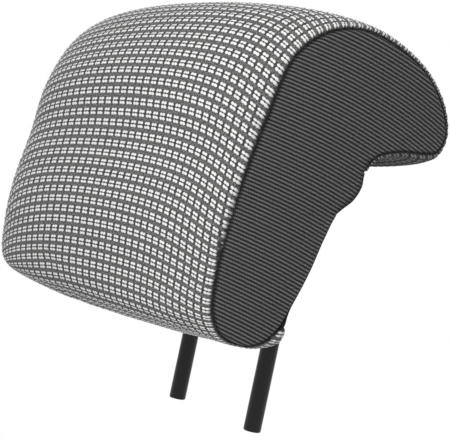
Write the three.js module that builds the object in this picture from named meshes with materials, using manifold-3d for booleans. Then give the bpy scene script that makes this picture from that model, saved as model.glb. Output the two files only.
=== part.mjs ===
// Car headrest, in millimetres. +Z runs up along the posts, -Y is the front where the head rests.
// The origin lies midway between the two post ends.

import * as THREE from 'three';
import { mergeVertices } from 'three/addons/utils/BufferGeometryUtils.js';
import Module from 'manifold-3d';

const wasm = await Module();
wasm.setup();

// Steel frame
const postDiameter = 12;
const postSpacing = 100;
const postChamfer = 1.2;
const bendHeight = 104;
const legLean = 30;
const legLength = 97;
const bendRadius = 26;

// Pad, measured at the side seams, and how far its middle stands beyond them
const padHalfWidth = 142;
const padBottom = 64.5;
const padHeight = 201;
const frontReach = 113;
const hookReach = 53;
const hookUnderside = 203;
const frontCrown = 40;
const topCrown = 17.5;
const hookCrown = 10;
const backCrown = 66;
const bottomCrown = -1.5;
const lowBackDepth = 41;
const upperCreaseDrop = 21;
const bulgeDrop = 31;
const lowerCreaseDrop = 50;
const toeInStart = -95;
const toeInRate = 0.001;
const frontRoundness = 2.1;
const backRoundness = 1.5;

// Cover
const coverThickness = 3;
const ribPitch = 2.5;
const ribDepth = 0.8;
const ribFall = 10;
const ribMargin = 25;
const sideBlockShare = 0.4;
const seamGap = 0.4;
const postHole = 1;
const fitGap = 0.4;

// Carrier inside the foam
const carrierMargin = 14;
const carrierHeight = 74;
const carrierThickness = 18;
const carrierCorner = 10;
const carrierTop = 16;
const splitGap = 0.4;
const screwDiameter = 4;
const screwHeadDiameter = 8;
const screwHeadHeight = 3;
const screwInset = 7;
const screwSink = 1;
const screwEndWall = 1.5;
const screwAccess = 4;

// Wires, rings and closing strips
const wireDiameter = 2.4;
const ringWire = 1.6;
const wireSpanShare = 0.68;
const wireEndShare = 0.01;
const ringSpacing = 58;
const ringsPerWire = 3;
const ringClearance = 0.35;
const ringSink = 2;
const slitWidth = 1.6;
const stripWall = 1.6;
const stripHook = 5;
const stripHeight = 9;
const stripPostGap = 4;
const stripDrop = 20;
const stripLift = 6;
const stripForward = 17;

const padTop = padBottom + padHeight;
const postRadius = postDiameter / 2;
const halfSpacing = postSpacing / 2;
const lean = THREE.MathUtils.degToRad(legLean);
const fall = THREE.MathUtils.degToRad(ribFall);
const wireRadius = wireDiameter / 2;

// Colours and finishes
function finish(color, roughness, metalness) {
  return new THREE.MeshStandardMaterial({ color, roughness, metalness });
}
const blackSteel = finish(0x1c1c1e, 0.45, 0.6);
const bareSteel = finish(0x8f9296, 0.35, 0.9);
const blackPlastic = finish(0x222324, 0.6, 0);
const paleFoam = finish(0xcfc7a4, 0.95, 0);
const tuftedCloth = finish(0x6f6f70, 0.95, 0);
const ribbedCloth = finish(0x4b4b4c, 0.9, 0);
const plainCloth = finish(0x2a2a2b, 0.92, 0);

// Closed mesh helpers
function signedVolume(geometry) {
  const position = geometry.getAttribute('position');
  const index = geometry.getIndex();
  const corners = [new THREE.Vector3(), new THREE.Vector3(), new THREE.Vector3()];
  let volume = 0;
  for (let i = 0; i < index.count; i += 3) {
    corners.forEach((corner, k) => corner.fromBufferAttribute(position, index.getX(i + k)));
    volume += corners[0].dot(corners[1].clone().cross(corners[2])) / 6;
  }
  return volume;
}

function facingOut(geometry) {
  if (signedVolume(geometry) < 0) {
    const index = geometry.getIndex();
    for (let i = 0; i < index.count; i += 3) {
      const first = index.getX(i);
      index.setX(i, index.getX(i + 1));
      index.setX(i + 1, first);
    }
  }
  return geometry;
}

function merged(geometry) {
  const bare = geometry.clone();
  bare.deleteAttribute('normal');
  bare.deleteAttribute('uv');
  return mergeVertices(bare, 1e-4);
}

function solidOf(geometry) {
  const closed = merged(geometry);
  const vertProperties = Float32Array.from(closed.getAttribute('position').array);
  const triVerts = Uint32Array.from(closed.getIndex().array);
  return new wasm.Manifold(new wasm.Mesh({ numProp: 3, vertProperties, triVerts }));
}

function geometryOf(solid) {
  const mesh = solid.getMesh();
  const geometry = new THREE.BufferGeometry();
  geometry.setAttribute('position', new THREE.BufferAttribute(Float32Array.from(mesh.vertProperties), 3));
  geometry.setIndex(new THREE.BufferAttribute(Uint32Array.from(mesh.triVerts), 1));
  geometry.computeVertexNormals();
  return geometry;
}

// A list of quads between points becomes one closed geometry
function fromQuads(quads) {
  const positions = [];
  quads.forEach(([a, b, c, d]) => {
    [a, b, c, a, c, d].forEach((point) => positions.push(point.x, point.y, point.z));
  });
  const geometry = new THREE.BufferGeometry();
  geometry.setAttribute('position', new THREE.Float32BufferAttribute(positions, 3));
  const closed = mergeVertices(geometry, 1e-4);
  const index = closed.getIndex();
  const kept = [];
  for (let i = 0; i < index.count; i += 3) {
    const [a, b, c] = [index.getX(i), index.getX(i + 1), index.getX(i + 2)];
    if (a !== b && b !== c && c !== a) {
      kept.push(a, b, c);
    }
  }
  closed.setIndex(kept);
  facingOut(closed);
  closed.computeVertexNormals();
  return closed;
}

// A wall between two grids of points that share their rows and columns
function wallBetween(outer, inner) {
  const quads = [];
  const rows = outer.length - 1;
  const columns = outer[0].length - 1;
  for (let i = 0; i < rows; i += 1) {
    for (let j = 0; j < columns; j += 1) {
      quads.push([outer[i][j], outer[i + 1][j], outer[i + 1][j + 1], outer[i][j + 1]]);
      quads.push([inner[i][j], inner[i][j + 1], inner[i + 1][j + 1], inner[i + 1][j]]);
    }
    quads.push([outer[i][0], inner[i][0], inner[i + 1][0], outer[i + 1][0]]);
    quads.push([outer[i + 1][columns], inner[i + 1][columns], inner[i][columns], outer[i][columns]]);
  }
  for (let j = 0; j < columns; j += 1) {
    quads.push([outer[0][j + 1], inner[0][j + 1], inner[0][j], outer[0][j]]);
    quads.push([outer[rows][j], inner[rows][j], inner[rows][j + 1], outer[rows][j + 1]]);
  }
  return fromQuads(quads);
}

function circle(radius, sides) {
  const shape = new THREE.Shape();
  for (let k = 0; k < sides; k += 1) {
    const angle = (2 * Math.PI * k) / sides;
    const point = [radius * Math.cos(angle), radius * Math.sin(angle)];
    if (k === 0) {
      shape.moveTo(...point);
    } else {
      shape.lineTo(...point);
    }
  }
  shape.closePath();
  return shape;
}

function tube(path, radius, sides, steps) {
  return new THREE.ExtrudeGeometry(circle(radius, sides), { steps, extrudePath: path, bevelEnabled: false });
}

function cylinderAt(radius, length, sides, place) {
  const geometry = new THREE.CylinderGeometry(radius, radius, length, sides);
  geometry.applyMatrix4(place);
  return geometry;
}

// Outline of the pad. Each entry gives the side seam and then the middle, as [y, z].
const front = -frontReach;
const middleFront = front - frontCrown;
const hookMiddle = hookReach + hookCrown;
const middleTop = padTop + topCrown;
const middleBottom = padBottom - bottomCrown;
const lowBack = -lowBackDepth;
const middleBack = lowBack + backCrown;
const creaseUpper = hookUnderside - upperCreaseDrop;
const creaseLower = hookUnderside - lowerCreaseDrop;
const bulge = hookUnderside - bulgeDrop;
const outline = [
  [[front + 29, padBottom], [front + 39, middleBottom]],
  [[front + 12, padBottom + 4], [middleFront + 28, middleBottom + 0.5]],
  [[front + 3, padBottom + 16], [middleFront + 11, middleBottom + 7]],
  [[front, padBottom + 41], [middleFront + 5, middleBottom + 33]],
  [[front + 1, padBottom + 65], [middleFront + 4, middleBottom + 64]],
  [[front + 5.5, padTop - 99.5], [middleFront + 10, middleTop - 111]],
  [[front + 12, padTop - 66.5], [middleFront + 13, middleTop - 71]],
  [[front + 21, padTop - 30.5], [middleFront + 31, middleTop - 37]],
  [[front + 34, padTop - 14.5], [middleFront + 55, middleTop - 15]],
  [[front + 51, padTop - 4.5], [middleFront + 83, middleTop - 5.5]],
  [[front + 73, padTop], [middleFront + 115, middleTop - 4.5]],
  [[hookReach - 65, padTop - 3], [hookMiddle - 69, middleTop - 7.5]],
  [[hookReach - 30, padTop - 14], [hookMiddle - 33, middleTop - 22]],
  [[hookReach - 7, hookUnderside + 31], [hookMiddle - 7, hookUnderside + 38]],
  [[hookReach + 1, hookUnderside + 16], [hookMiddle, hookUnderside + 15]],
  [[hookReach - 5, hookUnderside + 4.5], [hookMiddle - 5, hookUnderside - 4]],
  [[hookReach - 19, hookUnderside + 0.5], [hookMiddle - 19, hookUnderside - 11.5]],
  [[hookReach - 45, hookUnderside - 3.5], [hookMiddle - 33, hookUnderside - 9]],
  [[lowBack + 29, hookUnderside - 11], [middleBack - 11, hookUnderside - 11]],
  [[lowBack + 23, creaseUpper], [middleBack - 15, creaseUpper]],
  [[lowBack + 23.5, bulge + 1], [middleBack - 5, bulge]],
  [[lowBack + 19, bulge - 8], [middleBack - 5, bulge - 12]],
  [[lowBack + 7.5, creaseLower], [middleBack - 9, creaseLower - 4]],
  [[lowBack + 1, padBottom + 72], [middleBack - 2, middleBottom + 71]],
  [[lowBack - 5, padBottom + 51], [middleBack + 1, middleBottom + 50]],
  [[lowBack - 13, padBottom + 30], [middleBack - 1, middleBottom + 28]],
  [[lowBack - 20.5, padBottom + 14], [middleBack - 11, middleBottom + 10]],
  [[lowBack - 30, padBottom + 4.5], [middleBack - 45, middleBottom + 2]],
];
const bandEndIndex = 19;
const coverJoinIndex = 26;
const upperCreaseIndex = 19;
const lowerCreaseIndex = 22;

// Smooth closed curves through the outline, cut into equal steps
const spanStepCount = 2;
const loopCount = outline.length * spanStepCount;
function loopThrough(which) {
  const points = outline.map((entry) => new THREE.Vector3(0, entry[which][0], entry[which][1]));
  const curve = new THREE.CatmullRomCurve3(points, true, 'centripetal');
  return Array.from({ length: loopCount }, (_, k) => curve.getPoint(k / loopCount));
}
const seamLoop = loopThrough(0);
const middleLoop = loopThrough(1);

// Half width of the pad, which narrows towards the back
function halfWidthAt(y) {
  return padHalfWidth - toeInRate * Math.max(0, y - toeInStart) ** 2;
}

// The front swells like a barrel and the back is shallower. Under the hook and the bottom one turns into the other.
function backShare(k) {
  const rising = THREE.MathUtils.smoothstep(k, (bandEndIndex - 3) * spanStepCount, (bandEndIndex + 1) * spanStepCount);
  const falling = THREE.MathUtils.smoothstep(k, (coverJoinIndex - 1) * spanStepCount, loopCount);
  return rising * (1 - falling);
}

function padPoint(step, across) {
  const k = THREE.MathUtils.euclideanModulo(step, loopCount);
  const seam = seamLoop[k];
  const middle = middleLoop[k];
  const barrel = (1 - Math.abs(across) ** frontRoundness) ** (1 / frontRoundness);
  const shallow = (1 - across * across) ** backRoundness;
  const share = THREE.MathUtils.lerp(barrel, shallow, backShare(k));
  return new THREE.Vector3(
    across * halfWidthAt(seam.y),
    THREE.MathUtils.lerp(seam.y, middle.y, share),
    THREE.MathUtils.lerp(seam.z, middle.z, share),
  );
}

const strips = 10;
const stations = Array.from({ length: strips + 1 }, (_, j) => Math.sin(Math.PI * (j / strips - 0.5)));

// Outward direction of the pad's surface
function padNormal(k, across) {
  if (Math.abs(across) > 0.999) {
    return rimDirection(k, Math.sign(across)).direction;
  }
  const ahead = padPoint(k + 1, across).sub(padPoint(k - 1, across));
  const beside = padPoint(k, across + 0.02).sub(padPoint(k, across - 0.02));
  return beside.cross(ahead).normalize();
}

// At the seam the surface meets the side panel, so a point there moves along the mitre between them
function rimDirection(k, side) {
  const ahead = padPoint(k + 1, side).sub(padPoint(k - 1, side));
  const beside = padPoint(k, side).sub(padPoint(k, side * stations[strips - 1])).multiplyScalar(side);
  const slope = beside.cross(ahead).normalize();
  const straight = Math.max(0, slope.x * side);
  const mitre = Math.sqrt((1 - straight) / (1 + straight));
  slope.x = 0;
  slope.normalize().multiplyScalar(mitre);
  slope.x = side;
  return { direction: slope, mitre };
}

function padPointAt(k, across, depth) {
  return padPoint(k, across).addScaledVector(padNormal(k, across), -depth);
}

function padGrid(from, to, depth) {
  const rows = [];
  for (let k = from; k <= to; k += 1) {
    rows.push(stations.map((across) => padPointAt(k, across, depth)));
  }
  return rows;
}

// The steel rod: up one post, forward along the leg, across, and back down
function rodPoints() {
  const corner = new THREE.Vector3(halfSpacing, 0, bendHeight);
  const up = new THREE.Vector3(0, -Math.sin(lean), Math.cos(lean));
  const top = corner.clone().addScaledVector(up, legLength);
  const turn = bendRadius * Math.tan(lean / 2);
  const points = [new THREE.Vector3(halfSpacing, 0, 0), new THREE.Vector3(halfSpacing, 0, bendHeight - turn)];
  for (let n = 1; n <= 4; n += 1) {
    const angle = (lean * n) / 4;
    points.push(new THREE.Vector3(
      halfSpacing,
      -bendRadius * (1 - Math.cos(angle)),
      bendHeight - turn + bendRadius * Math.sin(angle),
    ));
  }
  const inward = new THREE.Vector3(-1, 0, 0);
  const centre = top.clone().addScaledVector(inward, bendRadius).addScaledVector(up, -bendRadius);
  for (let n = 0; n <= 5; n += 1) {
    const angle = (Math.PI / 2) * (n / 5);
    points.push(centre.clone()
      .addScaledVector(inward, -bendRadius * Math.cos(angle))
      .addScaledVector(up, bendRadius * Math.sin(angle)));
  }
  const mirrored = points.slice().reverse().map((point) => new THREE.Vector3(-point.x, point.y, point.z));
  return points.concat(mirrored);
}

// A path of straight runs between close points
class PointPath extends THREE.Curve {
  constructor(points) {
    super();
    this.points = points;
  }

  getPoint(t, target = new THREE.Vector3()) {
    const scaled = t * (this.points.length - 1);
    const k = Math.min(Math.floor(scaled), this.points.length - 2);
    return target.lerpVectors(this.points[k], this.points[k + 1], scaled - k);
  }

  getSpacedPoints() {
    return this.points.map((point) => point.clone());
  }

  getTangentAt(u, target = new THREE.Vector3()) {
    const last = this.points.length - 1;
    const k = Math.round(u * last);
    const before = this.points[Math.max(0, k - 1)];
    const after = this.points[Math.min(last, k + 1)];
    const here = this.points[k];
    const arriving = here.clone().sub(before).normalize();
    const leaving = after.clone().sub(here).normalize();
    return target.addVectors(arriving, leaving).normalize();
  }
}

function sweep(points, radius, sides) {
  return tube(new PointPath(points), radius, sides, points.length - 1);
}

const rodPath = rodPoints();
const rodSides = 14;

function chamferCutter(side) {
  const reach = postRadius + 1;
  const profile = [
    new THREE.Vector2(postRadius - postChamfer, -0.01),
    new THREE.Vector2(reach, -0.01),
    new THREE.Vector2(reach, postChamfer + 1),
    new THREE.Vector2(postRadius - postChamfer, -0.01),
  ];
  const geometry = new THREE.LatheGeometry(profile, rodSides);
  geometry.rotateX(Math.PI / 2);
  geometry.translate(side * halfSpacing, 0, 0);
  return solidOf(facingOut(merged(geometry)));
}

function postFrame() {
  const rod = solidOf(facingOut(merged(sweep(rodPath, postRadius, rodSides))));
  return geometryOf(rod.subtract(chamferCutter(1)).subtract(chamferCutter(-1)));
}

function rodRoom(clearance) {
  const longer = rodPath.map((point) => point.clone());
  longer[0].z -= postDiameter;
  longer[longer.length - 1].z -= postDiameter;
  return solidOf(facingOut(merged(sweep(longer, postRadius + clearance, rodSides))));
}

// The carrier lies in the plane of the leaning legs. Its own frame has X across, Y up the legs, Z to the back.
const carrierPlace = new THREE.Matrix4().makeTranslation(0, 0, bendHeight)
  .multiply(new THREE.Matrix4().makeRotationX(Math.PI / 2 + lean))
  .multiply(new THREE.Matrix4().makeRotationY(Math.PI));
const carrierHalfWidth = halfSpacing + postRadius + carrierMargin;
const carrierLow = legLength + carrierTop - carrierHeight;
const carrierHigh = legLength + carrierTop;

function carrierOutline(grow) {
  const left = -carrierHalfWidth - grow;
  const right = carrierHalfWidth + grow;
  const low = carrierLow - grow;
  const high = carrierHigh + grow;
  const round = carrierCorner + grow;
  const shape = new THREE.Shape();
  shape.moveTo(left + round, low);
  shape.lineTo(right - round, low);
  shape.absarc(right - round, low + round, round, -Math.PI / 2, 0);
  shape.lineTo(right, high - round);
  shape.absarc(right - round, high - round, round, 0, Math.PI / 2);
  shape.lineTo(left + round, high);
  shape.absarc(left + round, high - round, round, Math.PI / 2, Math.PI);
  shape.lineTo(left, low + round);
  shape.absarc(left + round, low + round, round, Math.PI, 1.5 * Math.PI);
  return shape;
}

function carrierBlock(from, to, grow) {
  const geometry = new THREE.ExtrudeGeometry(carrierOutline(grow), {
    depth: to - from,
    bevelEnabled: false,
    curveSegments: 2,
  });
  geometry.translate(0, 0, from);
  geometry.applyMatrix4(carrierPlace);
  return solidOf(facingOut(merged(geometry)));
}

const screwPlaces = [];
[-1, 1].forEach((side) => {
  [carrierLow + screwInset, carrierHigh - screwInset].forEach((height) => {
    screwPlaces.push([side * (carrierHalfWidth - screwInset), height]);
  });
});
const screwTurn = new THREE.Matrix4().makeRotationX(Math.PI / 2);
const carrierBack = carrierThickness / 2;
const screwLength = carrierThickness - screwEndWall - screwSink - screwHeadHeight / 2;

// A screw, or with some growth the hole that it sits in, which is open behind the head
function screwBody(place, grow, sides) {
  const access = grow > 0 ? screwAccess : 0;
  const headTop = carrierBack - screwSink + access;
  const headBottom = carrierBack - screwSink - screwHeadHeight - grow;
  const shaftTop = carrierBack - screwSink - screwHeadHeight / 2;
  const shaftLength = screwLength + grow;
  const head = cylinderAt(screwHeadDiameter / 2 + grow, headTop - headBottom, sides,
    new THREE.Matrix4().makeTranslation(place[0], place[1], (headTop + headBottom) / 2).multiply(screwTurn));
  const shaft = cylinderAt(screwDiameter / 2 + grow, shaftLength, sides,
    new THREE.Matrix4().makeTranslation(place[0], place[1], shaftTop - shaftLength / 2).multiply(screwTurn));
  head.applyMatrix4(carrierPlace);
  shaft.applyMatrix4(carrierPlace);
  return solidOf(facingOut(merged(head))).add(solidOf(facingOut(merged(shaft))));
}

function carrierHalf(from, to) {
  let half = carrierBlock(from, to, 0).subtract(rodRoom(fitGap));
  screwPlaces.forEach((place) => {
    half = half.subtract(screwBody(place, fitGap, 10));
  });
  return geometryOf(half);
}

// A wire lies along a crease, at a depth below the cover's surface
const creaseRows = { upper: upperCreaseIndex * spanStepCount, lower: lowerCreaseIndex * spanStepCount };
const listingDepth = coverThickness + fitGap + ringSink + ringWire + ringClearance + wireRadius;
const anchorDepth = listingDepth + wireDiameter + ringClearance;

function creasePath(row, depth, span) {
  const count = 14;
  const sunk = padNormal(row, 0).multiplyScalar(-depth);
  return Array.from({ length: count + 1 }, (_, n) => padPoint(row, span * ((2 * n) / count - 1)).add(sunk));
}

function wire(row, depth) {
  return sweep(creasePath(row, depth, wireSpanShare), wireRadius, 8);
}

// The groove for both wires, with a slit that opens it to the foam's surface
function wireGroove(row) {
  const middle = (listingDepth + anchorDepth) / 2;
  const radius = anchorDepth - middle + wireRadius + fitGap;
  const groove = solidOf(facingOut(merged(sweep(creasePath(row, middle, wireSpanShare + wireEndShare), radius, 8))));
  const lift = new THREE.Vector3(1, 0, 0).cross(padNormal(row, 0)).multiplyScalar(slitWidth / 2);
  const shallow = creasePath(row, 0, wireSpanShare - wireEndShare);
  const deep = creasePath(row, middle, wireSpanShare - wireEndShare);
  const upper = shallow.map((point, n) => [point.clone().add(lift), deep[n].clone().add(lift)]);
  const lower = shallow.map((point, n) => [point.clone().sub(lift), deep[n].clone().sub(lift)]);
  return groove.add(solidOf(wallBetween(upper, lower)));
}

// A ring ties the two wires of a crease together
function ringFrame(row, place) {
  const across = place / halfWidthAt(seamLoop[row].y);
  const before = padPoint(row, across - 0.02);
  const after = padPoint(row, across + 0.02);
  const along = after.sub(before).normalize();
  const inward = padNormal(row, 0).multiplyScalar(-1);
  inward.addScaledVector(along, -inward.dot(along)).normalize();
  const upward = new THREE.Vector3().crossVectors(along, inward);
  const drop = padNormal(row, 0).multiplyScalar(-(listingDepth + anchorDepth) / 2);
  return { middle: padPoint(row, across).add(drop), along, inward, upward };
}

function ring(row, place) {
  const { middle, inward, upward } = ringFrame(row, place);
  const long = (anchorDepth - listingDepth) / 2 + wireRadius + ringClearance + ringWire / 2;
  const short = wireRadius + ringClearance + ringWire / 2;
  const points = [];
  const steps = 14;
  const opening = 0.22;
  for (let n = 0; n <= steps; n += 1) {
    const angle = opening + (2 * Math.PI - 2 * opening) * (n / steps);
    const stretch = Math.sign(Math.cos(angle)) * (long - short) * Math.min(1, Math.abs(Math.cos(angle)) * 4);
    points.push(middle.clone()
      .addScaledVector(inward, short * Math.cos(angle) + stretch)
      .addScaledVector(upward, short * Math.sin(angle)));
  }
  return sweep(points, ringWire / 2, 6);
}

function ringPocket(row, place) {
  const { middle, along, inward, upward } = ringFrame(row, place);
  const reach = (anchorDepth - listingDepth) / 2 + wireRadius + ringClearance + ringWire + fitGap;
  const turn = new THREE.Matrix4().makeBasis(upward, along, inward).setPosition(middle);
  return solidOf(facingOut(merged(cylinderAt(reach, ringWire + 2 * fitGap, 12, turn))));
}

const ringPlaces = Array.from({ length: ringsPerWire }, (_, n) => (n - (ringsPerWire - 1) / 2) * ringSpacing);

// Two hooked strips close the cover between the posts
const joinRow = coverJoinIndex * spanStepCount;
const bandEndRow = bandEndIndex * spanStepCount;
const joinPoint = padPointAt(joinRow, 0, coverThickness + fitGap);
const stripLength = postSpacing - postDiameter - 2 * stripPostGap;
const stripFloor = joinPoint.z + stripLift;
const stripMiddle = joinPoint.y - stripForward;

function stripProfile(points) {
  const shape = new THREE.Shape(points.map(([y, z]) => new THREE.Vector2(stripMiddle + y, stripFloor + z)));
  const geometry = new THREE.ExtrudeGeometry(shape, { depth: stripLength, bevelEnabled: false });
  geometry.translate(0, 0, -stripLength / 2);
  geometry.applyMatrix4(new THREE.Matrix4().makeBasis(
    new THREE.Vector3(0, 1, 0),
    new THREE.Vector3(0, 0, 1),
    new THREE.Vector3(1, 0, 0),
  ));
  return geometry;
}

function stripFront() {
  const w = stripWall;
  return stripProfile([
    [0, 0], [w, 0], [w, stripHeight - w], [w + stripHook - w, stripHeight - w],
    [w + stripHook - w, stripHeight - 2 * w - 1], [2 * w + stripHook - w, stripHeight - 2 * w - 1],
    [2 * w + stripHook - w, stripHeight], [0, stripHeight],
  ]);
}

function stripRear() {
  const w = stripWall;
  const g = fitGap;
  return stripProfile([
    [w + g, 0], [stripHook + w + g + w, 0], [stripHook + w + g + w, stripHeight],
    [stripHook + w + g, stripHeight], [stripHook + w + g, w], [2 * w + g, w],
    [2 * w + g, stripHeight - w - g], [w + g, stripHeight - w - g],
  ]);
}

// Foam core with room for everything inside it
function foamBody() {
  const depth = coverThickness + fitGap;
  const grid = padGrid(0, loopCount, depth);
  const quads = [];
  for (let k = 0; k < loopCount; k += 1) {
    for (let j = 0; j < strips; j += 1) {
      quads.push([grid[k][j], grid[k + 1][j], grid[k + 1][j + 1], grid[k][j + 1]]);
    }
  }
  const half = loopCount / 2;
  const spans = 4;
  [0, strips].forEach((j) => {
    const side = j === 0 ? -1 : 1;
    const row = (k) => Array.from({ length: spans + 1 }, (_, n) => {
      const point = grid[k][j].clone().lerp(grid[(loopCount - k) % loopCount][j], n / spans);
      if (n > 0 && n < spans && k > 0 && k < half) {
        point.x = side * (halfWidthAt(point.y) - depth);
      }
      return point;
    });
    for (let k = 0; k < half; k += 1) {
      const low = row(k);
      const high = row(k + 1);
      for (let n = 0; n < spans; n += 1) {
        quads.push(side > 0 ? [low[n], high[n], high[n + 1], low[n + 1]] : [low[n], low[n + 1], high[n + 1], high[n]]);
      }
    }
  });
  return solidOf(fromQuads(quads));
}

// The strips' room in the foam opens downwards
function stripRoom() {
  const reach = stripHook + 2 * stripWall + fitGap;
  const height = stripHeight + fitGap + stripDrop;
  const geometry = new THREE.BoxGeometry(stripLength + 2 * fitGap, reach + 2 * fitGap, height);
  geometry.translate(0, stripMiddle + reach / 2, stripFloor + stripHeight + fitGap - height / 2);
  return solidOf(geometry);
}

function foamCore() {
  let foam = foamBody();
  foam = foam.subtract(carrierBlock(-carrierBack - fitGap, carrierBack + fitGap, fitGap));
  foam = foam.subtract(rodRoom(fitGap));
  Object.values(creaseRows).forEach((row) => {
    foam = foam.subtract(wireGroove(row));
    ringPlaces.forEach((place) => {
      foam = foam.subtract(ringPocket(row, place));
    });
  });
  return geometryOf(foam.subtract(stripRoom()));
}

// Cover pieces, each drawn back a little from its neighbour along the seam they share
function coverGrid(from, to, depth) {
  const grid = padGrid(from, to, depth);
  const last = grid.length - 1;
  [[0, 1], [last, last - 1]].forEach(([edge, next]) => {
    grid[edge].forEach((point, j) => {
      const run = grid[next][j].clone().sub(point);
      point.addScaledVector(run.normalize(), seamGap);
    });
  });
  return grid;
}

function coverPiece(from, to) {
  const whole = wallBetween(coverGrid(from, to, 0), coverGrid(from, to, coverThickness));
  return geometryOf(solidOf(whole).subtract(rodRoom(postHole)));
}

// The ribbed side panel: ribs fall towards the back across the whole panel
function ribbedBlock(side) {
  const along = new THREE.Vector2(Math.cos(fall), -Math.sin(fall));
  const up = new THREE.Vector2(Math.sin(fall), Math.cos(fall));
  const centre = new THREE.Vector2((hookReach - frontReach) / 2, padBottom + padHeight / 2);
  const halfLength = (hookReach + frontReach) / 2 + ribMargin;
  const halfRise = padHeight / 2 + ribMargin;
  const columns = 4;
  const rows = Math.ceil((2 * halfRise) / (ribPitch / 2));
  const outer = [];
  const inner = [];
  for (let k = 0; k <= rows; k += 1) {
    const rise = -halfRise + k * (ribPitch / 2);
    const sunk = k % 2 === 0 ? 0 : ribDepth;
    const line = Array.from({ length: columns + 1 }, (_, n) => {
      const run = halfLength * ((2 * n) / columns - 1);
      return centre.clone().addScaledVector(along, run).addScaledVector(up, rise);
    });
    outer.push(line.map((p) => new THREE.Vector3(side * (halfWidthAt(p.x) - sunk), p.x, p.y)));
    inner.push(line.map((p) => new THREE.Vector3(side * padHalfWidth * sideBlockShare, p.x, p.y)));
  }
  return solidOf(wallBetween(outer, inner));
}

function sidePrism(side) {
  const shape = new THREE.Shape(seamLoop.map((point, k) => {
    const ahead = seamLoop[(k + 1) % loopCount];
    const behind = seamLoop[(k + loopCount - 1) % loopCount];
    const run = new THREE.Vector2(ahead.y - behind.y, ahead.z - behind.z).normalize();
    const inset = seamGap + coverThickness * rimDirection(k, side).mitre;
    return new THREE.Vector2(point.y + run.y * inset, point.z - run.x * inset);
  }));
  const width = padHalfWidth;
  const geometry = new THREE.ExtrudeGeometry(shape, { depth: width, bevelEnabled: false });
  geometry.applyMatrix4(new THREE.Matrix4().makeBasis(
    new THREE.Vector3(0, 1, 0),
    new THREE.Vector3(0, 0, 1),
    new THREE.Vector3(1, 0, 0),
  ));
  geometry.translate(side > 0 ? width / 2 : -1.5 * width, 0, 0);
  return solidOf(facingOut(merged(geometry)));
}

function sideBacking(side) {
  const steps = 8;
  const start = -frontReach - ribMargin;
  const end = hookReach + ribMargin;
  const shape = new THREE.Shape();
  shape.moveTo(start, 0);
  for (let n = 0; n <= steps; n += 1) {
    const y = start + ((end - start) * n) / steps;
    shape.lineTo(y, halfWidthAt(y) - coverThickness);
  }
  shape.lineTo(end, 0);
  const geometry = new THREE.ExtrudeGeometry(shape, { depth: padTop + ribMargin, bevelEnabled: false });
  geometry.applyMatrix4(new THREE.Matrix4().makeBasis(
    new THREE.Vector3(0, 1, 0),
    new THREE.Vector3(side, 0, 0),
    new THREE.Vector3(0, 0, 1),
  ));
  return solidOf(facingOut(merged(geometry)));
}

function sidePanel(side) {
  return geometryOf(ribbedBlock(side).intersect(sidePrism(side)).subtract(sideBacking(side)));
}

// Assembly
const group = new THREE.Group();
function place(name, geometry, material) {
  const mesh = new THREE.Mesh(geometry, material);
  mesh.name = name;
  group.add(mesh);
}

place('post_frame', postFrame(), blackSteel);
place('carrier_front', carrierHalf(-carrierBack, -splitGap / 2), blackPlastic);
place('carrier_rear', carrierHalf(splitGap / 2, carrierBack), blackPlastic);
screwPlaces.forEach((spot, n) => {
  place(`carrier_screw_${n + 1}`, geometryOf(screwBody(spot, 0, 10)), bareSteel);
});
place('foam_core', foamCore(), paleFoam);
place('centre_band', coverPiece(joinRow - loopCount, bandEndRow), tuftedCloth);
place('rear_panel', coverPiece(bandEndRow, joinRow), plainCloth);
place('side_panel_left', sidePanel(-1), ribbedCloth);
place('side_panel_right', sidePanel(1), ribbedCloth);
Object.entries(creaseRows).forEach(([name, row]) => {
  place(`listing_wire_${name}`, wire(row, listingDepth), bareSteel);
  place(`anchor_wire_${name}`, wire(row, anchorDepth), bareSteel);
  ringPlaces.forEach((spot, n) => {
    place(`hog_ring_${name}_${n + 1}`, ring(row, spot), bareSteel);
  });
});
place('closure_strip_front', stripFront(), blackPlastic);
place('closure_strip_rear', stripRear(), blackPlastic);

export default group;
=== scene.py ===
import math

import bmesh
import bpy
import numpy as np
from bpy.props import FloatProperty, FloatVectorProperty, IntProperty, PointerProperty
from mathutils import Matrix, Vector, kdtree


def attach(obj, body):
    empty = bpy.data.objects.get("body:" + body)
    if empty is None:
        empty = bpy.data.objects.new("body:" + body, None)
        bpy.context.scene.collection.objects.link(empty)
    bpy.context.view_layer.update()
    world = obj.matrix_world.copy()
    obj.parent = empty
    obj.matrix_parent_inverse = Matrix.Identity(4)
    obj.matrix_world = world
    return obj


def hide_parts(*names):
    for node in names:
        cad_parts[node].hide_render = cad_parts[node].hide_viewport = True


bl_info = {
    "name": "Car headrest",
    "version": (1, 0, 0),
    "blender": (4, 5, 0),
    "location": "View3D > Sidebar > Headrest",
    "description": "Sewn covers, foam and bent rod of a car headrest with a tufted front",
    "category": "Object",
}

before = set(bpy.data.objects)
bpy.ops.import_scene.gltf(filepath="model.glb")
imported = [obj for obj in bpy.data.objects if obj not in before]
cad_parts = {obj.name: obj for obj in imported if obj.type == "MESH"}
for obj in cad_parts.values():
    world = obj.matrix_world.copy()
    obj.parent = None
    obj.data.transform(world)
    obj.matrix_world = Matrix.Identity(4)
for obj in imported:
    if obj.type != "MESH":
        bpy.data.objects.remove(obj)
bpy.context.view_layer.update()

MM = 0.001
BODY = "root"

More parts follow.
